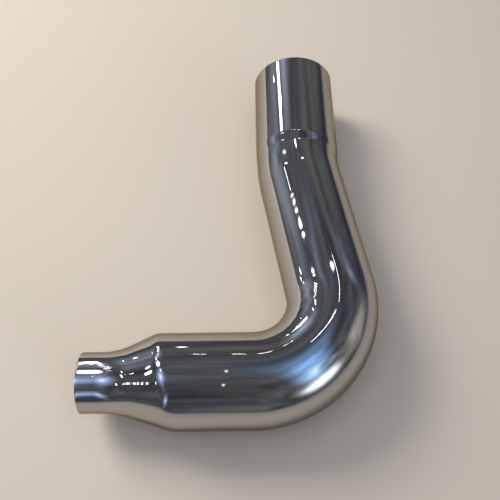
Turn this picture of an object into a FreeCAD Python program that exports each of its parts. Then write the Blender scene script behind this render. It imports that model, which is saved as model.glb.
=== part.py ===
"""One-piece chromed exhaust elbow: a swaged-down slip neck, a straight body, a tight main bend,
a leaning leg, a slight offset bend and an expanded slip socket, all drawn from one tube with one wall.

Frame: millimetres, +Z up. The origin is the centre of the neck's open end, +X runs into the tube along the
neck's axis, and the socket's axis ends along +Y. The tube lies in the XY plane, as it rests on a floor.
"""
import FreeCAD
import Part
import math
import os

from FreeCAD import Placement, Rotation, Vector

# Tube sizes
BODY_DIAMETER = 203.2
NECK_DIAMETER = 127.0
WALL = 1.6
SOCKET_CLEARANCE = 0.4
RIM_BREAK = 0.3

# Straight lengths along the tube's axis, from the neck's open end to the socket's
NECK_LENGTH = 40.0
BODY_LENGTH = 176.0
LEG_LENGTH = 295.0
SOCKET_LENGTH = 236.0

# Bends, about axes along +Z
BEND_RADIUS = 178.0
OFFSET_ANGLE = 10.0
END_ANGLE = 90.0
OFFSET_RADIUS = 340.0

# Drawn steps of radius: the cone's slope, and the radii of its corners on the outer skin
SWAGE_ANGLE = 21.0
SWAGE_FLARE_RADIUS = 180.0
SWAGE_SHOULDER_RADIUS = 60.0
STEP_ANGLE = 5.2
STEP_CORNER_RADIUS = 45.0

# The swage's shoulder leans towards the neck on the +Y side, and the loft takes it through this many ovals
SWAGE_LEAN = 11.0
SWAGE_STATIONS = 16

# Sizes that follow from those above
BODY_R = BODY_DIAMETER / 2
NECK_R = NECK_DIAMETER / 2
SOCKET_R = BODY_R + SOCKET_CLEARANCE + WALL
BEND_ANGLE = END_ANGLE + OFFSET_ANGLE

ORIGIN = Vector(0, 0, 0)
AXIS = Vector(1, 0, 0)
UP = Vector(0, 0, 1)
QUARTER_TURN = 90
FULL_TURN = 360
NODE = "exhaust_elbow"


class DrawnStep:
    """A change of radius along +X: a concave flare arc, a cone tangent to it and a convex shoulder arc."""

    def __init__(self, start_r, end_r, slope, flare_r, shoulder_r):
        self.start_r = start_r
        self.end_r = end_r
        self.angle = math.radians(slope)
        self.flare_r = flare_r
        self.shoulder_r = shoulder_r
        arcs = flare_r + shoulder_r
        cone_rise = end_r - start_r - arcs * (1 - math.cos(self.angle))
        self.length = arcs * math.sin(self.angle) + cone_rise / math.tan(self.angle)

    def on_flare(self, slope, inset):
        """(x, radius) where the flare arc has that slope, on the skin inset below the outer one."""
        reach = self.flare_r + inset
        return reach * math.sin(slope), self.start_r + self.flare_r - reach * math.cos(slope)

    def on_shoulder(self, slope, inset):
        """(x, radius) where the shoulder arc has that slope, on the skin inset below the outer one."""
        reach = self.shoulder_r - inset
        return self.length - reach * math.sin(slope), self.end_r - self.shoulder_r + reach * math.cos(slope)

    def at(self, share, inset):
        """(x, radius) on that skin, square below the outer skin's point at a share of the step's length."""
        x = share * self.length
        flare_x, flare_r = self.on_flare(self.angle, 0)
        shoulder_x, _ = self.on_shoulder(self.angle, 0)
        if x <= flare_x:
            return self.on_flare(math.asin(x / self.flare_r), inset)
        if x >= shoulder_x:
            return self.on_shoulder(math.asin((self.length - x) / self.shoulder_r), inset)
        r = flare_r + (x - flare_x) * math.tan(self.angle)
        return x + inset * math.sin(self.angle), r - inset * math.cos(self.angle)

    def skin(self, inset):
        """Edges of that skin's profile, from the start at x 0 to the end."""
        slopes = (0, self.angle / 2, self.angle)
        flare = [Vector(*self.on_flare(slope, inset), 0) for slope in slopes]
        shoulder = [Vector(*self.on_shoulder(slope, inset), 0) for slope in reversed(slopes)]
        cone = Part.LineSegment(flare[-1], shoulder[0])
        return [Part.Arc(*flare).toShape(), cone.toShape(), Part.Arc(*shoulder).toShape()]


SWAGE = DrawnStep(NECK_R, BODY_R, SWAGE_ANGLE, SWAGE_FLARE_RADIUS, SWAGE_SHOULDER_RADIUS)
STEP = DrawnStep(BODY_R, SOCKET_R, STEP_ANGLE, STEP_CORNER_RADIUS, STEP_CORNER_RADIUS)
SWAGE_END = NECK_LENGTH + SWAGE.length
FIRST_LENGTH = SWAGE_END + BODY_LENGTH
LAST_LENGTH = STEP.length + SOCKET_LENGTH


def polyline(*points):
    """Straight edges of a wall profile through (x, radius) points, in order."""
    corners = [Vector(x, r, 0) for x, r in points]
    return [Part.LineSegment(a, b).toShape() for a, b in zip(corners, corners[1:])]


def turned(edges):
    """Solid turned about the tube's own axis from the closed wall profile that the edges make."""
    wire = Part.Wire(Part.__sortEdges__(edges))
    return Part.Face(wire).revolve(ORIGIN, AXIS, FULL_TURN)


def pipe(radius, start_x, end_x):
    """Plain straight pipe of that outer radius, from one x to the other."""
    low = radius - WALL
    return turned(polyline((start_x, low), (start_x, radius), (end_x, radius), (end_x, low), (start_x, low)))


def neck():
    """Straight slip neck with a broken rim."""
    low = NECK_R - WALL
    return turned(polyline((RIM_BREAK, NECK_R), (NECK_LENGTH, NECK_R), (NECK_LENGTH, low), (RIM_BREAK, low),
                           (0, low + RIM_BREAK), (0, NECK_R - RIM_BREAK), (RIM_BREAK, NECK_R)))


def swage_oval(share, inset):
    """Oval round the swage's skin at a share of its length, in a plane that leans by the same share."""
    x, r = SWAGE.at(share, inset)
    lean = SWAGE_LEAN * share
    oval = Part.Ellipse(ORIGIN, r / math.cos(math.radians(lean)), r).toShape()
    across = Rotation(UP, QUARTER_TURN + lean).multiply(Rotation(AXIS, QUARTER_TURN))
    oval.Placement = Placement(Vector(NECK_LENGTH + x, 0, 0), across)
    return Part.Wire(oval)


def swage():
    """Swage between the square end of the neck and the leaned end of the body, lofted inside and out."""
    shares = [i / SWAGE_STATIONS for i in range(SWAGE_STATIONS + 1)]
    outside, inside = (Part.makeLoft([swage_oval(share, inset) for share in shares], True)
                       for inset in (0, WALL))
    return outside.cut(inside)


def body():
    """Straight body, trimmed to the leaned end of the swage."""
    size = FIRST_LENGTH + BODY_DIAMETER
    trim = Part.makeBox(size, 2 * size, 2 * size, Vector(-size, -size, -size))
    trim.Placement = Placement(Vector(SWAGE_END, 0, 0), Rotation(UP, SWAGE_LEAN))
    return pipe(BODY_R, SWAGE_END - BODY_R, FIRST_LENGTH).cut(trim)


def bend(radius, angle):
    """Bent tube that starts at the origin along +X and turns left by the angle, or right below zero."""
    side = math.copysign(1, angle)
    rings = [Part.Wire(Part.makeCircle(r, ORIGIN, AXIS)) for r in (BODY_R, BODY_R - WALL)]
    return Part.Face(rings).revolve(Vector(0, side * radius, 0), UP * side, abs(angle))


def socket():
    """Expanded slip socket: a small drawn step up from the tube, then a straight wall with a broken rim."""
    low, start_x, end_x = SOCKET_R - WALL, STEP.length, LAST_LENGTH - RIM_BREAK
    profile = STEP.skin(0) + STEP.skin(WALL) + polyline((0, BODY_R - WALL), (0, BODY_R))
    profile += polyline((start_x, SOCKET_R), (end_x, SOCKET_R), (LAST_LENGTH, SOCKET_R - RIM_BREAK),
                        (LAST_LENGTH, low + RIM_BREAK), (end_x, low), (start_x, low))
    return turned(profile)


class Route:
    """Walks along the tube's axis in the XY plane, and places each stretch at the end of the last."""

    def __init__(self):
        self.point = ORIGIN
        self.heading = 0.0
        self.stretches = []

    def direction(self):
        """Unit vector along the tube at the end of the last stretch."""
        return Rotation(UP, self.heading).multVec(AXIS)

    def place(self):
        """Matrix that carries a stretch from the origin and +X to the end of the last one."""
        return Placement(self.point, Rotation(UP, self.heading)).toMatrix()

    def add_straight(self, length, *shapes):
        """Places the shapes of a straight stretch, and goes on by its length."""
        for shape in shapes:
            self.stretches.append(shape.transformed(self.place()))
        self.point = self.point + self.direction() * length

    def add_bend(self, radius, angle):
        """Places a bend, and goes on round its arc."""
        self.stretches.append(bend(radius, angle).transformed(self.place()))
        reach = math.copysign(radius, angle)
        centre = self.point + UP.cross(self.direction()) * reach
        self.heading += angle
        self.point = centre - UP.cross(self.direction()) * reach


def elbow():
    """The whole tube as one solid, joined along its route, and the centre of the socket's mouth."""
    route = Route()
    route.add_straight(FIRST_LENGTH, neck(), swage(), body())
    route.add_bend(BEND_RADIUS, BEND_ANGLE)
    route.add_straight(LEG_LENGTH, pipe(BODY_R, 0, LEG_LENGTH))
    route.add_bend(OFFSET_RADIUS, -OFFSET_ANGLE)
    route.add_straight(LAST_LENGTH, socket())
    joined = route.stretches[0].multiFuse(route.stretches[1:]).removeSplitter()
    return joined.Solids[0], route.point


def main():
    """Builds the tube, prints its main facts and writes its file."""
    os.makedirs("parts", exist_ok=True)
    solid, mouth = elbow()
    box = solid.optimalBoundingBox()
    print("valid", solid.isValid(), "faces", len(solid.Faces), "volume_cm3", round(solid.Volume / 1000, 1))
    print("swage end", round(SWAGE_END, 2), "step length", round(STEP.length, 2))
    print("socket mouth", [round(v, 2) for v in mouth])
    print("box", [round(v, 1) for v in (box.XMin, box.YMin, box.ZMin, box.XMax, box.YMax, box.ZMax)])
    solid.exportStep(os.path.join("parts", NODE + ".step"))


main()
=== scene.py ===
"""Looks of the chromed exhaust elbow: a swept skin over the CAD tube, its finishes, a studio and the camera.

The tube is worked out as one closed surface of two parameters: how far round the wall's profile a point lies
(outer skin, socket rim, bore, neck rim) and its angle about the tube's axis. All lengths are metres in the
frame of the CAD part: the neck's open end at the origin, +X into the neck, +Y out of the socket, +Z up.
"""
import logging
import math
from dataclasses import dataclass
from enum import Enum, IntEnum

import bpy
import numpy as np
from mathutils import Matrix, Quaternion, Vector


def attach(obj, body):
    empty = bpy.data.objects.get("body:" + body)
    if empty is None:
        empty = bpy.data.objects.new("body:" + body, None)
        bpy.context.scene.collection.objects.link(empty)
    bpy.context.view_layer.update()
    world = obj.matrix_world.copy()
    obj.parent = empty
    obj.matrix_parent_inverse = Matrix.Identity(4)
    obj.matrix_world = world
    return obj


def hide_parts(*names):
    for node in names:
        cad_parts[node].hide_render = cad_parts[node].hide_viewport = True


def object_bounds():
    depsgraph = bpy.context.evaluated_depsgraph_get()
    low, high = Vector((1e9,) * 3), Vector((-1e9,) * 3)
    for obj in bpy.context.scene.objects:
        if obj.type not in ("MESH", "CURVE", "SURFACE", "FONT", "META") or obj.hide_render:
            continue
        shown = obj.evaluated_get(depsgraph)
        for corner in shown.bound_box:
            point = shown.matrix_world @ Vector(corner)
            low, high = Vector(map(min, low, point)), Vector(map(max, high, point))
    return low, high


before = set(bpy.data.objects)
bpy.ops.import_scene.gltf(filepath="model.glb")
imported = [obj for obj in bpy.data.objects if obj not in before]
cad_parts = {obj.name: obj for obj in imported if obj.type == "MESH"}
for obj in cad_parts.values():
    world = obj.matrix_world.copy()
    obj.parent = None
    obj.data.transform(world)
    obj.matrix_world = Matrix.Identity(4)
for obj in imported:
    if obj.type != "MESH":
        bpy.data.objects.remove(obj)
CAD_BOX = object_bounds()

logging.basicConfig(level=logging.INFO, format="%(levelname)s %(message)s")
LOG = logging.getLogger("exhaust_elbow")

NODE = "exhaust_elbow"
BODY = "root"

Point = tuple[float, float, float]
Colour = tuple[float, float, float]
Span = tuple[float, float]
WHOLE: Span = (0.0, 1.0)


class Skin(Enum):
    """The two finishes that the tube's wall carries, as material indices on its mesh."""

    PLATED = 0
    BORE = 1


class Stretch(IntEnum):
    """The stretches of the tube's axis, in order from the neck's open end."""

    NECK_AND_BODY = 0
    BEND = 1
    LEG = 2
    OFFSET = 3
    SOCKET = 4


@dataclass(frozen=True)
class TubeSizes:
    """Sizes of the bent tube, the same values that the CAD part is built from."""

    body_radius: float = 0.1016
    neck_radius: float = 0.0635
    wall: float = 0.0016
    socket_clearance: float = 0.0004
    rim_break: float = 0.0003
    neck_length: float = 0.040
    body_length: float = 0.176
    leg_length: float = 0.295
    socket_length: float = 0.236
    bend_radius: float = 0.178
    offset_radius: float = 0.340
    bend_angle: float = math.radians(100.0)
    offset_angle: float = math.radians(10.0)
    swage_angle: float = math.radians(21.0)
    swage_flare: float = 0.180
    swage_shoulder: float = 0.060
    swage_lean: float = math.radians(11.0)
    step_angle: float = math.radians(5.2)
    step_corner: float = 0.045

    @property
    def socket_radius(self) -> float:
        """Outer radius of the expanded socket, which slips over a pipe of the body's size."""
        return self.body_radius + self.socket_clearance + self.wall


@dataclass(frozen=True)
class Wave:
    """One long polishing wave.

    It has a share of the polishing height, a rate along the tube in radians to the metre, a number of lobes
    about the tube, negative where they wind the other way, and a phase in radians.
    """

    share: float
    rate: float
    lobes: float
    phase: float

    def at(self, along: np.ndarray, angle: np.ndarray) -> np.ndarray:
        """Height of the wave, share * sin(rate * distance + lobes * angle + phase)."""
        return self.share * np.sin(self.rate * along + self.lobes * angle + self.phase)


@dataclass(frozen=True)
class Swell:
    """How a bead's height varies about the tube: a share of it follows a sine."""

    share: float
    lobes: int
    phase: float

    def at(self, angle: np.ndarray) -> np.ndarray:
        """Share of the bead's height at each angle: the even part plus the part that follows the sine."""
        return 1.0 - self.share + self.share * np.sin(self.lobes * angle + self.phase)


@dataclass(frozen=True)
class Ripples:
    """Waves that drawing, bending and polishing leave in the skin.

    A height, width, fade or wavelength is in metres, an angle or sway in radians, and a centre or spread is
    a share of the stretch that the wave lies on.
    """

    polish_height: float = 0.00003
    polish_waves: tuple[Wave, ...] = (Wave(1.0, 71.0, 2.0, 0.0), Wave(1.0, 47.0, -3.0, 1.1),
                                      Wave(0.6, 113.0, 5.0, 2.3))
    end_fade: float = 0.02
    swage_height: float = 0.00022
    swage_lobes: int = 9
    swage_centre: float = 0.62
    swage_spread: float = 0.30
    swage_sway: float = 0.25
    swage_sway_rate: float = 60.0
    inside_height: float = 0.00035
    inside_wavelength: float = 0.034
    inside_centre: float = 0.5
    inside_spread: float = 0.42
    inside_power: int = 4
    inside_angle: float = 0.75
    inside_sway: float = 0.9
    inside_sway_lobes: int = 2
    ring_height: float = 0.00030
    ring_centre: float = 0.2
    ring_spread: float = 0.55
    ring_swell: Swell = Swell(0.4, 7, 0.5)
    fold_height: float = 0.00020
    fold_width: float = 0.012
    fold_swell: Swell = Swell(0.3, 5, 1.4)


@dataclass(frozen=True)
class SkinDensity:
    """How finely the skin is divided: distances along the tube and columns about its axis."""

    outer_pitch: float = 0.0036
    bore_pitch: float = 0.0100
    rim_steps: int = 4
    columns: int = 160


def bell(distance: np.ndarray, spread: float, power: int = 2) -> np.ndarray:
    """Smooth window, exp(-(distance / spread) ** power).

    Args:
        distance: distances from the window's centre.
        spread: distance at which the window has fallen to 1 / e.
        power: 2 for a round window, more for one with a flatter top.

    Returns:
        The window's value at each distance.
    """
    return np.exp(-(distance / spread) ** power)


def smooth_step(share: np.ndarray) -> np.ndarray:
    """Rise from 0 to 1 that starts and ends level, share squared times (3 - 2 share)."""
    return share * share * (3.0 - 2.0 * share)


class DrawnStep:
    """A change of radius along the tube: a concave flare arc, a tangent cone and a convex shoulder arc."""

    def __init__(self, start: float, radii: Span, angle: float, corners: Span) -> None:
        """Works out the step's length from its slope.

        Args:
            start: distance along the tube where the flare begins.
            radii: tube radius before and after.
            angle: slope of the cone, in radians.
            corners: radius of the flare arc and of the shoulder arc.
        """
        self.start, self.angle = start, angle
        self.first, self.last = radii
        self.flare, self.shoulder = corners
        arcs = self.flare + self.shoulder
        cone_rise = self.last - self.first - arcs * (1.0 - math.cos(angle))
        self.length = arcs * math.sin(angle) + cone_rise / math.tan(angle)

    @property
    def end(self) -> float:
        """Distance along the tube where the shoulder ends."""
        return self.start + self.length

    def radius(self, along: np.ndarray) -> np.ndarray:
        """Radius along the tube: arc, cone or arc within the step, and the end radii outside it.

        Args:
            along: distances along the tube.

        Returns:
            Radius at each distance.
        """
        d = np.clip(along - self.start, 0.0, self.length)
        flare_run = self.flare * math.sin(self.angle)
        shoulder_run = self.shoulder * math.sin(self.angle)
        on_flare = self.first + self.flare - np.sqrt(self.flare ** 2 - np.minimum(d, flare_run) ** 2)
        back = np.minimum(self.length - d, shoulder_run)
        on_shoulder = self.last - self.shoulder + np.sqrt(self.shoulder ** 2 - back ** 2)
        foot = self.first + self.flare * (1.0 - math.cos(self.angle))
        on_cone = foot + (d - flare_run) * math.tan(self.angle)
        return np.select([d < flare_run, d > self.length - shoulder_run], [on_flare, on_shoulder], on_cone)


class Centreline:
    """The tube's axis in the XY plane: straights and arcs, as functions of the distance along it."""

    def __init__(self, sizes: TubeSizes, first: float, last: float) -> None:
        """Lays the stretches end to end.

        Args:
            sizes: the tube's sizes.
            first: length of the straight run before the main bend.
            last: length of the straight run after the offset bend.
        """
        bend = sizes.bend_radius * sizes.bend_angle
        offset = sizes.offset_radius * sizes.offset_angle
        self.lengths = np.array([first, bend, sizes.leg_length, offset, last])
        self.curvatures = np.array([0.0, 1.0 / sizes.bend_radius, 0.0, -1.0 / sizes.offset_radius, 0.0])
        self.starts = np.concatenate([[0.0], np.cumsum(self.lengths)])
        self.headings = np.concatenate([[0.0], np.cumsum(self.lengths * self.curvatures)])

    @property
    def length(self) -> float:
        """Length of the whole axis."""
        return float(self.starts[-1])

    def at(self, along: np.ndarray) -> tuple[np.ndarray, np.ndarray]:
        """Point and heading at each distance: every stretch adds its straight run or its arc's chord.

        Args:
            along: distances from the neck's end, any shape.

        Returns:
            Points, with a last axis of 3, and headings in radians, of along's shape.
        """
        x, y, heading = np.zeros_like(along), np.zeros_like(along), np.zeros_like(along)
        for start, length, bend, turn in zip(self.starts, self.lengths, self.curvatures, self.headings):
            run = np.clip(along - start, 0.0, length)
            if bend:
                x += (np.sin(turn + bend * run) - math.sin(turn)) / bend
                y -= (np.cos(turn + bend * run) - math.cos(turn)) / bend
                heading += bend * run
            else:
                x += run * math.cos(turn)
                y += run * math.sin(turn)
        return np.stack([x, y, np.zeros_like(x)], axis=-1), heading


def closed_grid_mesh(name: str, points: np.ndarray, kinds: np.ndarray) -> bpy.types.Mesh:
    """Mesh of a grid that closes on itself both ways: each quad joins a point to the next row and column.

    Args:
        name: the mesh's name.
        points: grid of points, rows by columns by 3.
        kinds: material index of each row.

    Returns:
        The smooth mesh.
    """
    rows, columns = points.shape[:2]
    u, v = np.meshgrid(np.arange(rows), np.arange(columns), indexing="ij")
    u_next, v_next = (u + 1) % rows, (v + 1) % columns
    corners = [u * columns + v, u_next * columns + v, u_next * columns + v_next, u * columns + v_next]
    quads = np.stack(corners, axis=-1).reshape(-1, len(corners))
    mesh = bpy.data.meshes.new(name)
    mesh.vertices.add(rows * columns)
    mesh.vertices.foreach_set("co", points.reshape(-1))
    mesh.loops.add(quads.size)
    mesh.loops.foreach_set("vertex_index", quads.reshape(-1))
    mesh.polygons.add(len(quads))
    mesh.polygons.foreach_set("loop_start", np.arange(len(quads)) * len(corners))
    mesh.polygons.foreach_set("material_index", np.repeat(kinds, columns))
    mesh.update(calc_edges=True)
    mesh.validate()
    mesh.shade_smooth()
    LOG.info("%s: %d rows, %d columns, %d faces", name, rows, columns, len(quads))
    return mesh


class ElbowTube:
    """The one-piece tube: its swept skin, its ripples and its two finishes."""

    # Half the distance over which the skin's slope is measured
    SLOPE_SPAN = 1e-4

    def __init__(self, sizes: TubeSizes, ripples: Ripples, density: SkinDensity) -> None:
        """Lays out the swage, the step and the axis.

        Args:
            sizes: the tube's sizes.
            ripples: the waves left in the skin.
            density: how finely the skin is divided.
        """
        self.sizes, self.ripples, self.density = sizes, ripples, density
        self.swage = DrawnStep(sizes.neck_length, (sizes.neck_radius, sizes.body_radius), sizes.swage_angle,
                               (sizes.swage_flare, sizes.swage_shoulder))
        first = self.swage.end + sizes.body_length
        before = first + sizes.bend_radius * sizes.bend_angle + sizes.leg_length
        self.step = DrawnStep(before + sizes.offset_radius * sizes.offset_angle,
                              (sizes.body_radius, sizes.socket_radius), sizes.step_angle,
                              (sizes.step_corner, sizes.step_corner))
        self.line = Centreline(sizes, first, self.step.length + sizes.socket_length)
        self.piece: bpy.types.Object | None = None

    def outer_radius(self, along: np.ndarray) -> np.ndarray:
        """Radius of the plated skin: the swage falls below the body's radius and the step rises above it."""
        return self.swage.radius(along) + self.step.radius(along) - self.sizes.body_radius

    def bore_radius(self, along: np.ndarray) -> np.ndarray:
        """Radius of the bore: one wall inside the plated skin, measured square to it.

        Args:
            along: distances along the tube.

        Returns:
            Radius at each distance, the outer one less the wall over the cosine of the skin's slope.
        """
        ahead = self.outer_radius(along + self.SLOPE_SPAN)
        behind = self.outer_radius(along - self.SLOPE_SPAN)
        slope = (ahead - behind) / (2 * self.SLOPE_SPAN)
        return self.outer_radius(along) - self.sizes.wall * np.sqrt(1.0 + slope ** 2)

    def lean(self, along: np.ndarray) -> np.ndarray:
        """Angle by which a ring leans towards the neck on the inside of the bend.

        It grows evenly through the swage and dies away smoothly along the straight body, where a lean only
        slides the wall along itself.

        Args:
            along: distances along the tube.

        Returns:
            Angle of the ring at each distance, in radians.
        """
        through = np.clip((along - self.swage.start) / self.swage.length, 0.0, 1.0)
        left = np.clip((self.line.starts[Stretch.BEND] - along) / self.sizes.body_length, 0.0, 1.0)
        return self.sizes.swage_lean * through * smooth_step(left)

    def profile(self) -> tuple[np.ndarray, np.ndarray, np.ndarray]:
        """The wall's closed outline, along the skin and back along the bore.

        It goes round the socket's rim at one end and the neck's rim at the other. Each rim's two corners are
        quarter circles of the rim's break.

        Returns:
            Distance along the tube, radius and skin index of each row of the surface.
        """
        edge, length = self.sizes.rim_break, self.line.length
        out = np.linspace(edge, length - edge, round(length / self.density.outer_pitch))
        back = np.linspace(length - edge, edge, round(length / self.density.bore_pitch))
        turn = np.linspace(0.0, math.pi / 2, self.density.rim_steps + 1)[1:-1]
        run, drop = edge * np.sin(turn), edge * (1.0 - np.cos(turn))
        outside, inside = self.outer_radius(out), self.bore_radius(back)
        stretches = [
            (out, outside, Skin.PLATED),
            (length - edge + run, outside[-1] - drop, Skin.PLATED),
            ([length, length], [outside[-1] - edge, inside[0] + edge], Skin.PLATED),
            (length - edge + run[::-1], inside[0] + drop[::-1], Skin.PLATED),
            (back, inside, Skin.BORE),
            (edge - run, inside[-1] + drop, Skin.PLATED),
            ([0.0, 0.0], [inside[-1] + edge, outside[0] - edge], Skin.PLATED),
            (edge - run[::-1], outside[0] - drop[::-1], Skin.PLATED),
        ]
        along = np.concatenate([distances for distances, _, _ in stretches])
        radius = np.concatenate([radii for _, radii, _ in stretches])
        skin = np.concatenate([np.full(len(radii), kind.value) for _, radii, kind in stretches])
        return along, radius, skin

    def waves(self, along: np.ndarray, angle: np.ndarray) -> np.ndarray:
        """Height of the skin's ripples, each a sine or a bead under a smooth window.

        Long polishing waves lie everywhere, lobes on the swage, wrinkles on the inside of the bend, and soft
        beads at the start of the offset bend and at the socket's step.

        Args:
            along: distances along the tube.
            angle: angles about its axis, 0 towards the inside of the main bend.

        Returns:
            Heights above the drawn skin.
        """
        r, line = self.ripples, self.line
        ends = np.clip(along / r.end_fade, 0, 1) * np.clip((line.length - along) / r.end_fade, 0, 1)
        polish = sum(wave.at(along, angle) for wave in r.polish_waves)
        swage_at = (along - self.swage.start) / self.swage.length
        sway = r.swage_sway * np.sin(along * r.swage_sway_rate)
        swage = bell(swage_at - r.swage_centre, r.swage_spread) * np.sin(r.swage_lobes * angle + sway)
        bend_at = (along - line.starts[Stretch.BEND]) / line.lengths[Stretch.BEND]
        inside = bell(bend_at - r.inside_centre, r.inside_spread, r.inside_power)
        inside = inside * bell(angle, r.inside_angle)
        twist = r.inside_sway * np.sin(r.inside_sway_lobes * angle)
        wrinkle = np.sin(2 * math.pi * along / r.inside_wavelength + twist)
        ring_at = (along - self.step.start) / self.step.length
        ring = bell(ring_at - r.ring_centre, r.ring_spread) * r.ring_swell.at(angle)
        fold = bell(along - line.starts[Stretch.OFFSET], r.fold_width) * r.fold_swell.at(angle)
        drawn = ends * (r.polish_height * polish + r.swage_height * swage)
        return drawn + r.inside_height * inside * wrinkle + r.ring_height * ring + r.fold_height * fold

    def points(self, along: np.ndarray, radius: np.ndarray) -> np.ndarray:
        """Grid of the swept wall: axis(u) + (radius(u) + wave) * (side cos v + up sin v), each ring leaned.

        Args:
            along: distance along the tube of each row.
            radius: radius of each row.

        Returns:
            Points, rows by columns by 3.
        """
        angle = np.arange(self.density.columns) * (2 * math.pi / self.density.columns)
        wrapped = (angle[None, :] + math.pi) % (2 * math.pi) - math.pi
        centre, heading = self.line.at(along)
        side = np.stack([-np.sin(heading), np.cos(heading), np.zeros_like(heading)], axis=-1)
        reach = radius[:, None] + self.waves(along[:, None], wrapped)
        across = reach * np.cos(angle)[None, :]
        points = centre[:, None, :] + across[..., None] * side[:, None, :]
        points[..., 2] += reach * np.sin(angle)[None, :]
        points[..., 0] -= np.tan(self.lean(along))[:, None] * across
        return points

    def build(self) -> bpy.types.Object:
        """Sweeps the wall's outline round the tube's axis.

        Returns:
            The tube as one closed mesh.
        """
        along, radius, skin = self.profile()
        mesh = closed_grid_mesh("elbow_skin", self.points(along, radius), skin)
        self.piece = bpy.data.objects.new("elbow_skin", mesh)
        bpy.context.scene.collection.objects.link(self.piece)
        return self.piece

    def dress(self, plated: "ChromeFinish", bore: "BoreFinish") -> None:
        """Gives the skin its finishes and hands it to the frame, in place of the CAD node.

        Args:
            plated: finish of the outside and the rims.
            bore: finish of the inside.
        """
        self.piece.data.materials.append(plated.material())
        self.piece.data.materials.append(bore.material())
        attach(self.piece, BODY)
        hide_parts(NODE)
        LOG.info("elbow_skin: dressed in %s and %s", plated.name, bore.name)


def metal(name: str) -> tuple[bpy.types.Material, bpy.types.Node, bpy.types.NodeSocket]:
    """Starts a bare metal finish.

    Args:
        name: the material's name.

    Returns:
        The material, its shader and the socket of its object coordinates.
    """
    material = bpy.data.materials.new(name)
    material.use_nodes = True
    shader = material.node_tree.nodes["Principled BSDF"]
    shader.inputs["Metallic"].default_value = 1.0
    place = material.node_tree.nodes.new("ShaderNodeTexCoord").outputs["Object"]
    return material, shader, place


def noise(tree: bpy.types.NodeTree, place: bpy.types.NodeSocket, scale: float,
          detail: float = 2.0) -> bpy.types.NodeSocket:
    """Adds a cloudy pattern.

    Args:
        tree: node tree that it is added to.
        place: socket of the place or direction that is looked at.
        scale: how many clouds there are to a metre, or to a unit of direction.
        detail: how many finer layers lie on them.

    Returns:
        Socket of the pattern's strength.
    """
    node = tree.nodes.new("ShaderNodeTexNoise")
    node.inputs["Scale"].default_value = scale
    node.inputs["Detail"].default_value = detail
    tree.links.new(place, node.inputs["Vector"])
    return node.outputs["Fac"]


def carried(tree: bpy.types.NodeTree, value: bpy.types.NodeSocket, source: Span,
            target: Span) -> bpy.types.NodeSocket:
    """Carries a value from one range to another, held at its ends.

    Args:
        tree: node tree that the step is added to.
        value: socket of the value.
        source: range that the value has.
        target: range that it is carried to.

    Returns:
        Socket of the new value.
    """
    node = tree.nodes.new("ShaderNodeMapRange")
    node.inputs["From Min"].default_value, node.inputs["From Max"].default_value = source
    node.inputs["To Min"].default_value, node.inputs["To Max"].default_value = target
    tree.links.new(value, node.inputs["Value"])
    return node.outputs["Result"]


def mixed(tree: bpy.types.NodeTree, factor: bpy.types.NodeSocket, first: Colour,
          last: Colour) -> bpy.types.NodeSocket:
    """Mixes two colours.

    Args:
        tree: node tree that the mix is added to.
        factor: socket of the share of the last colour.
        first: colour at a factor of 0.
        last: colour at a factor of 1.

    Returns:
        Socket of the mixed colour.
    """
    node = tree.nodes.new("ShaderNodeMix")
    node.data_type = "RGBA"
    node.inputs["A"].default_value = (*first, 1.0)
    node.inputs["B"].default_value = (*last, 1.0)
    tree.links.new(factor, node.inputs["Factor"])
    return node.outputs["Result"]


@dataclass(frozen=True)
class ChromeFinish:
    """Mirror chrome plate: a cool metal with faint clouding in its gloss and a slight polishing haze."""

    name: str = "chrome_plate"
    colour: Colour = (0.53, 0.525, 0.53)
    tint: Colour = (0.47, 0.465, 0.475)
    edge: Colour = (0.54, 0.46, 0.36)
    gloss: Span = (0.015, 0.050)
    cloud_scale: float = 9.0
    cloud_detail: float = 4.0
    cloud_range: Span = (0.3, 0.7)
    haze_scale: float = 420.0
    haze_strength: float = 0.02
    haze_depth: float = 0.0002

    def material(self) -> bpy.types.Material:
        """Clouds the plate's roughness and colour alike, and adds the haze as a fine bump.

        Returns:
            The node material, in object coordinates.
        """
        material, shader, place = metal(self.name)
        tree = material.node_tree
        shader.inputs["Specular Tint"].default_value = (*self.edge, 1.0)
        cloud = noise(tree, place, self.cloud_scale, self.cloud_detail)
        tree.links.new(carried(tree, cloud, self.cloud_range, self.gloss), shader.inputs["Roughness"])
        tree.links.new(mixed(tree, cloud, self.colour, self.tint), shader.inputs["Base Color"])
        bump = tree.nodes.new("ShaderNodeBump")
        bump.inputs["Strength"].default_value = self.haze_strength
        bump.inputs["Distance"].default_value = self.haze_depth
        tree.links.new(noise(tree, place, self.haze_scale), bump.inputs["Height"])
        tree.links.new(bump.outputs["Normal"], shader.inputs["Normal"])
        return material


@dataclass(frozen=True)
class BoreFinish:
    """Unplated inside of the tube: dull drawn steel with warm grey patches."""

    name: str = "bare_bore"
    colour: Colour = (0.54, 0.52, 0.49)
    patch: Colour = (0.40, 0.36, 0.31)
    gloss: Span = (0.38, 0.60)
    patch_scale: float = 14.0
    patch_detail: float = 6.0
    patch_range: Span = WHOLE

    def material(self) -> bpy.types.Material:
        """Lets one pattern of patches drive the steel's colour and its roughness.

        Returns:
            The node material, in object coordinates.
        """
        material, shader, place = metal(self.name)
        tree = material.node_tree
        patch = noise(tree, place, self.patch_scale, self.patch_detail)
        tree.links.new(mixed(tree, patch, self.colour, self.patch), shader.inputs["Base Color"])
        tree.links.new(carried(tree, patch, self.patch_range, self.gloss), shader.inputs["Roughness"])
        return material


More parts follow.
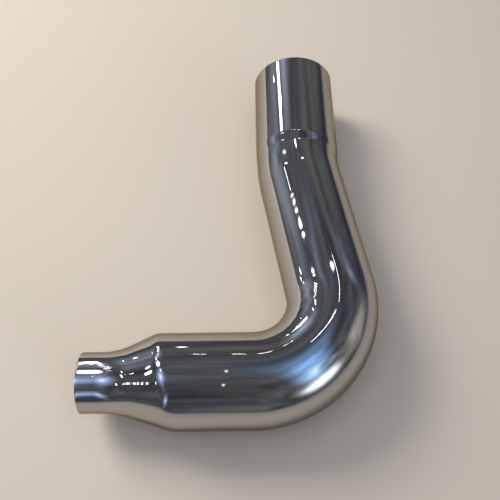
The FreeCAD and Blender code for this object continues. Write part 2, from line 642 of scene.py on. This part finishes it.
class LampShape(Enum):
    """Outline of a lamp, with the share of its rectangle that it fills."""

    PANEL = ("RECTANGLE", 1.0)
    OVAL = ("ELLIPSE", math.pi / 4)

    @property
    def name_in_blender(self) -> str:
        """The area light's shape."""
        return self.value[0]

    @property
    def fill(self) -> float:
        """Share of the rectangle that gives light."""
        return self.value[1]


@dataclass(frozen=True)
class Lamp:
    """One studio lamp: an area light that faces a point.

    Its brightness is what a mirror shows of it, 1 being white. A lamp that isn't mirrored lights the scene
    without a reflection.
    """

    name: str
    place: Point
    size: Span
    brightness: float
    colour: Colour = (1.0, 1.0, 1.0)
    along: Point = (1.0, 0.0, 0.0)
    aim: Point = (0.42, 0.25, 0.0)
    mirrored: bool = True
    shape: LampShape = LampShape.OVAL

    def build(self) -> bpy.types.Object:
        """Hangs the lamp, with its first side as near as may be to the direction that it runs along.

        Returns:
            The lamp, turned to its aim and hidden from the camera itself.
        """
        data = bpy.data.lights.new(self.name, "AREA")
        data.shape = self.shape.name_in_blender
        data.size, data.size_y = self.size
        data.energy = self.brightness * math.pi * self.shape.fill * self.size[0] * self.size[1]
        data.color = self.colour
        lamp = bpy.data.objects.new(self.name, data)
        back = (Vector(self.place) - Vector(self.aim)).normalized()
        up = back.cross(Vector(self.along)).normalized()
        turn = Matrix((up.cross(back), up, back)).transposed()
        lamp.matrix_world = Matrix.Translation(self.place) @ turn.to_4x4()
        lamp.visible_glossy = self.mirrored
        lamp.visible_camera = False
        bpy.context.scene.collection.objects.link(lamp)
        return lamp


@dataclass(frozen=True)
class DashedLamp:
    """A straight row of strip lamps: dashes along one line, each from one share of its length to another."""

    name: str
    first: Point
    last: Point
    dashes: tuple[Span, ...] = (WHOLE,)
    width: float = 0.016
    brightness: float = 16.0
    shape: LampShape = LampShape.PANEL
    across: Point | None = None

    def lamps(self) -> list[Lamp]:
        """Makes one lamp for each dash.

        Returns:
            The lamps. Their width lies square to the row, or in the direction that is given for it.
        """
        first, run = Vector(self.first), Vector(self.last) - Vector(self.first)
        across = self.across or tuple(run.cross(first))
        lamps = []
        for number, (start, end) in enumerate(self.dashes, 1):
            middle = tuple(first + run * ((start + end) / 2))
            size = (self.width, run.length * (end - start))
            name = f"{self.name}_{number}"
            lamps.append(Lamp(name, middle, size, self.brightness, along=across, shape=self.shape))
        return lamps


@dataclass(frozen=True)
class Glow:
    """A soft oval patch of the surroundings, which fades as the square of the way left to its edge."""

    name: str
    towards: Point
    along: Point
    reach: Span
    colour: Colour

    def add(self, tree: bpy.types.NodeTree, place: bpy.types.NodeSocket,
            under: bpy.types.NodeSocket) -> bpy.types.NodeSocket:
        """Adds the glow's light to a colour.

        Args:
            tree: the world's node tree.
            place: socket of the direction that is looked in.
            under: socket of the colour that the glow is added to.

        Returns:
            Socket of the colour with the glow.
        """
        outward = Vector(self.towards).normalized()
        short = outward.cross(Vector(self.along)).normalized()
        turn = Matrix((short.cross(outward), short, outward)).transposed()
        oval = tree.nodes.new("ShaderNodeMapping")
        oval.vector_type = "TEXTURE"
        oval.inputs["Location"].default_value = outward
        oval.inputs["Rotation"].default_value = turn.to_euler()
        oval.inputs["Scale"].default_value = (*self.reach, 1.0)
        fade = tree.nodes.new("ShaderNodeTexGradient")
        fade.gradient_type = "QUADRATIC_SPHERE"
        mix = tree.nodes.new("ShaderNodeMix")
        mix.label = self.name
        mix.data_type, mix.blend_type = "RGBA", "ADD"
        mix.inputs["B"].default_value = (*self.colour, 1.0)
        tree.links.new(place, oval.inputs["Vector"])
        tree.links.new(oval.outputs["Vector"], fade.inputs["Vector"])
        tree.links.new(fade.outputs["Fac"], mix.inputs["Factor"])
        tree.links.new(under, mix.inputs["A"])
        return mix.outputs["Result"]


# Soft light round the elbow, named for where the chrome shows it
GLOWS = (
    Glow("heel_core", (0.70, -0.62, 0.34), (0.66, 0.75, 0.0), (0.42, 0.30), (4.6, 5.0, 5.6)),
    Glow("heel_halo", (0.36, -0.13, 0.92), (0.45, -0.65, -0.15), (0.66, 0.28), (0.45, 1.00, 2.00)),
    Glow("heel_blue", (0.55, -0.40, 0.74), (0.35, -0.60, -0.60), (0.52, 0.30), (1.10, 1.80, 2.70)),
    Glow("heel_grey", (0.72, -0.27, 0.63), (0.40, 0.30, -0.50), (0.22, 0.14), (0.55, 0.55, 0.58)),
    Glow("neck_blue", (-0.40, -0.10, 0.91), (0.0, 1.0, 0.0), (0.50, 0.34), (0.95, 1.25, 2.10)),
    Glow("neck_back", (-0.33, 0.77, 0.55), (0.0, 0.55, -0.77), (0.30, 0.22), (0.62, 0.76, 1.04)),
    Glow("shoulder_blue", (-0.32, -0.83, 0.44), (0.0, -0.4, 0.9), (0.50, 0.13), (0.80, 1.10, 1.80)),
    Glow("bend_outside", (0.92, -0.05, 0.38), (0.0, 1.0, 0.0), (0.50, 0.50), (0.60, 0.57, 0.48)),
    Glow("leg_left", (-0.79, 0.52, 0.34), (0.3, 0.5, 0.0), (0.60, 0.46), (0.34, 0.40, 0.52)),
    Glow("leg_streak", (-0.40, 0.38, 0.84), (0.80, 0.05, -0.50), (0.36, 0.10), (0.15, 0.18, 0.26)),
    Glow("bend_streak", (0.66, 0.48, 0.58), (0.80, -0.15, -0.55), (0.40, 0.12), (0.45, 0.50, 0.75)),
)

# Each mirrored lamp hangs where the chrome throws it back to the camera from the place that it is named for
LEG_ROW_START = (-0.90, 1.50, 1.20)
LEG_ROW_END = (-0.80, 0.90, 1.48)
LAMP_ROWS = (
    DashedLamp("socket_strip", (-0.62, 2.37, 1.10), (-0.62, 1.75, 1.10), ((0.0, 0.88),), 0.20, 4.0),
    DashedLamp("leg_line", LEG_ROW_START, LEG_ROW_END, ((0.25, 0.40),), brightness=10.0),
    DashedLamp("leg_dots", LEG_ROW_START, LEG_ROW_END,
               ((0.447, 0.481), (0.510, 0.544), (0.578, 0.616), (0.655, 0.740), (0.786, 0.855)),
               0.30, 2.8, LampShape.OVAL, (0.77, 0.16, 0.62)),
    DashedLamp("bend_strip", (1.07, 0.92, 2.07), (0.95, 1.28, 1.99), brightness=8.0),
    DashedLamp("heel_strip", (0.50, 0.89, 2.14), (0.96, 0.87, 2.12), ((0.16, 1.0),), brightness=8.0),
    DashedLamp("body_strip", (-0.06, 1.71, 1.50), (0.40, 1.64, 1.60),
               ((0.18, 0.26), (0.30, 0.35), (0.62, 0.84)), brightness=10.0),
    DashedLamp("swage_row", (-0.830, -0.351, 0.741), (-0.782, -0.381, 0.762),
               ((-0.05, 0.05), (0.31, 0.41), (0.59, 0.69), (0.95, 1.05), (1.38, 1.48)),
               0.10, 5.0, LampShape.OVAL, (0.07, -0.92, -0.38)),
)

FAINT_GREEN = (0.8, 1.0, 0.9)
LAMPS = (
    Lamp("key", (-2.60, 2.55, 3.15), (2.20, 2.20), 11.2, mirrored=False, shape=LampShape.PANEL),
    Lamp("overhead_fill", (0.30, 0.30, 3.20), (3.40, 3.40), 0.75, mirrored=False, shape=LampShape.PANEL),
    Lamp("neck_panel", (-0.144, 0.287, 0.678), (0.18, 0.19), 2.4, (0.95, 0.98, 1.0), aim=(0.03, 0.0, 0.06)),
    Lamp("bend_panel", (0.70, 1.17, 2.09), (0.34, 0.045), 3.0, along=(0.97, 0.17, -0.15)),
    Lamp("corner_spot", (-0.65, 1.92, 0.66), (0.04, 0.012), 60.0),
    Lamp("leg_spot", (-0.96, 0.87, 1.61), (0.28, 0.035), 3.0, along=(0.75, 0.14, 0.65)),
    Lamp("ring_spot_1", (-0.76, 1.73, 1.48), (0.30, 0.06), 3.0, along=(0.79, 0.08, 0.61)),
    Lamp("ring_spot_2", (-0.84, 1.54, 1.54), (0.30, 0.06), 3.0, along=(0.79, 0.08, 0.61)),
    Lamp("ring_spot_3", (0.61, 1.81, 1.87), (0.24, 0.04), 4.0, along=(0.97, 0.15, -0.17)),
    Lamp("swage_spot_1", (-0.234, 0.373, 0.213), (0.008, 0.016), 16.0),
    Lamp("swage_spot_2", (-0.779, 0.304, 0.836), (0.018, 0.14), 8.0),
    Lamp("swage_spot_3", (-0.763, 0.036, 0.861), (0.030, 0.20), 8.0),
    Lamp("swage_spot_4", (-0.830, 0.103, 0.810), (0.006, 0.05), 8.0),
    Lamp("swage_spot_5", (-0.656, -0.418, 0.872), (0.030, 0.12), 6.0),
    Lamp("swage_spot_6", (-0.239, 0.174, 1.212), (0.060, 0.14), 6.0),
    Lamp("swage_spot_7", (0.087, 0.321, 0.175), (0.011, 0.024), 10.0),
    Lamp("swage_spot_8", (-0.038, 0.233, 0.197), (0.011, 0.010), 16.0),
    Lamp("body_spot", (0.077, 1.170, 0.482), (0.050, 0.08), 3.0),
    Lamp("body_sparkle_1", (0.250, 0.129, 1.292), (0.014, 0.14), 1.6, FAINT_GREEN),
    Lamp("body_sparkle_2", (0.242, -0.535, 1.184), (0.014, 0.14), 1.6, FAINT_GREEN),
)


@dataclass(frozen=True)
class Studio:
    """Pale floor, dim mottled surroundings with a few soft glows, and the lamps."""

    floor_colour: Colour = (0.69, 0.59, 0.465)
    floor_reach: float = 30.0
    floor_roughness: float = 0.9
    floor_shine: float = 0.1
    sky_cool: Colour = (0.086, 0.096, 0.122)
    sky_warm: Colour = (0.144, 0.140, 0.138)
    sky_scale: float = 1.9
    sky_range: Span = (0.35, 0.65)
    mottle: Span = (0.50, 1.50)
    mottle_scale: float = 3.4
    mottle_detail: float = 3.0
    mottle_range: Span = (0.3, 0.7)
    glows: tuple[Glow, ...] = GLOWS
    rows: tuple[DashedLamp, ...] = LAMP_ROWS
    lamps: tuple[Lamp, ...] = LAMPS

    def build(self, floor_height: float) -> None:
        """Lays the floor, lights the world and hangs the lamps.

        Args:
            floor_height: height of the floor under the tube.
        """
        self._floor(floor_height)
        self._world()
        lamps = [*self.lamps, *(lamp for row in self.rows for lamp in row.lamps())]
        for lamp in lamps:
            lamp.build()
        LOG.info("studio: floor at %.4f m, %d lamps, %d glows", floor_height, len(lamps), len(self.glows))

    def _floor(self, height: float) -> None:
        """Lays one wide painted floor.

        Args:
            height: height of the floor.
        """
        far = self.floor_reach
        mesh = bpy.data.meshes.new("floor")
        corners = [(-far, -far, height), (far, -far, height), (far, far, height), (-far, far, height)]
        mesh.from_pydata(corners, [], [range(len(corners))])
        floor = bpy.data.objects.new("floor", mesh)
        bpy.context.scene.collection.objects.link(floor)
        material = bpy.data.materials.new("floor_paint")
        material.use_nodes = True
        shader = material.node_tree.nodes["Principled BSDF"]
        shader.inputs["Base Color"].default_value = (*self.floor_colour, 1.0)
        shader.inputs["Roughness"].default_value = self.floor_roughness
        shader.inputs["Specular IOR Level"].default_value = self.floor_shine
        mesh.materials.append(material)

    def _world(self) -> None:
        """Lights the surroundings: a drift from cool to warm grey plus the glows, all mottled by noise."""
        world = bpy.data.worlds.new("surroundings")
        bpy.context.scene.world = world
        world.use_nodes = True
        tree = world.node_tree
        place = tree.nodes.new("ShaderNodeTexCoord").outputs["Generated"]
        warmth = carried(tree, noise(tree, place, self.sky_scale), self.sky_range, WHOLE)
        colour = mixed(tree, warmth, self.sky_cool, self.sky_warm)
        for glow in self.glows:
            colour = glow.add(tree, place, colour)
        cloud = noise(tree, place, self.mottle_scale, self.mottle_detail)
        sky = tree.nodes["Background"]
        tree.links.new(colour, sky.inputs["Color"])
        tree.links.new(carried(tree, cloud, self.mottle_range, self.mottle), sky.inputs["Strength"])


@dataclass(frozen=True)
class PhotoCamera:
    """Camera at the photograph's viewing angle, fitted to the elbow's outline in a 500 by 500 picture."""

    target: Point = (0.3558, 0.3113, 0.0)
    elevation: float = math.radians(62.04)
    azimuth: float = math.radians(0.28)
    roll: float = math.radians(-1.04)
    distance: float = 1.4093
    focal_pixels: float = 600.0
    picture_pixels: float = 500.0
    sensor: float = 36.0

    def build(self) -> bpy.types.Object:
        """Stands the camera back from its target, level and then rolled.

        Returns:
            The scene's camera.
        """
        back = Vector((math.sin(self.azimuth) * math.cos(self.elevation),
                       -math.cos(self.azimuth) * math.cos(self.elevation), math.sin(self.elevation)))
        data = bpy.data.cameras.new("photo_camera")
        data.sensor_width = self.sensor
        data.lens = self.sensor * self.focal_pixels / self.picture_pixels
        camera = bpy.data.objects.new("photo_camera", data)
        camera.location = Vector(self.target) + back * self.distance
        level = (-back).to_track_quat("-Z", "Y")
        camera.rotation_euler = (level @ Quaternion((0.0, 0.0, 1.0), self.roll)).to_euler()
        bpy.context.scene.collection.objects.link(camera)
        bpy.context.scene.camera = camera
        LOG.info("camera: lens %.1f mm at %.2f m", data.lens, self.distance)
        return camera


def main() -> None:
    """Builds and dresses the tube, then the studio and the camera."""
    bpy.context.scene.view_settings.view_transform = "Standard"
    tube = ElbowTube(TubeSizes(), Ripples(), SkinDensity())
    tube.build()
    tube.dress(ChromeFinish(), BoreFinish())
    Studio().build(float(CAD_BOX[0][2]))
    PhotoCamera().build()


if __name__ == "__main__":
    main()
